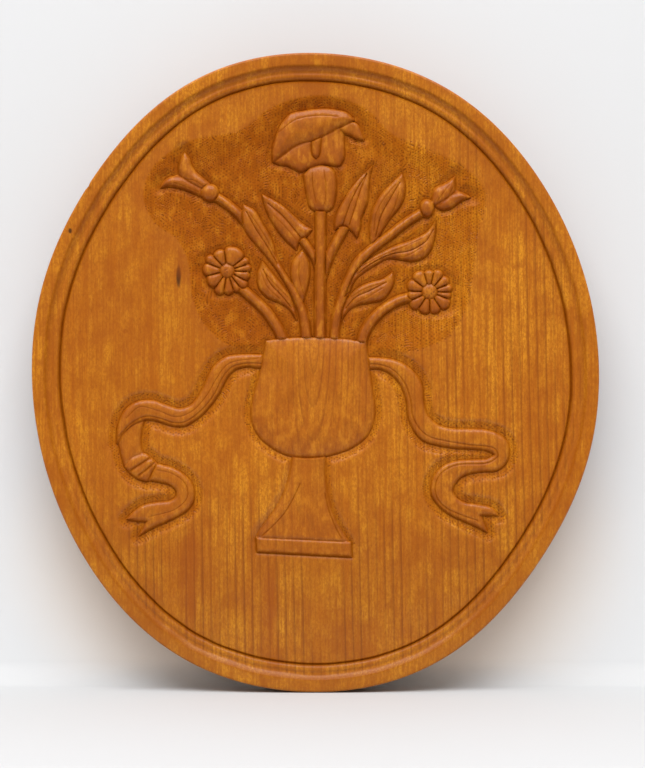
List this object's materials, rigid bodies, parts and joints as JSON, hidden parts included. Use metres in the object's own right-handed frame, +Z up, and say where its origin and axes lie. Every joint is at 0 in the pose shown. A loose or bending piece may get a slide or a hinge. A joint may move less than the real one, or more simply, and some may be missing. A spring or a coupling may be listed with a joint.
{
  "type": "carved wooden plaque",
  "caption": "Oval wall plaque of varnished wood with a moulded rim, carved in low relief with a footed vase of flowers and leaves and a ribbon falling on each side.",
  "frame": {"origin": "middle of the flat back face, on the plane that rests on the wall", "axes": "+X to the right for someone who faces the carving, +Y out of the back into the wall, +Z up"},
  "size_m": [0.5078, 0.025, 0.5721],
  "materials": {
    "varnished_wood": "satin varnish over honey-orange stained hardwood"
  },
  "bodies": {
    "root": {"plaque": "varnished_wood"}
  },
  "joints": []
}
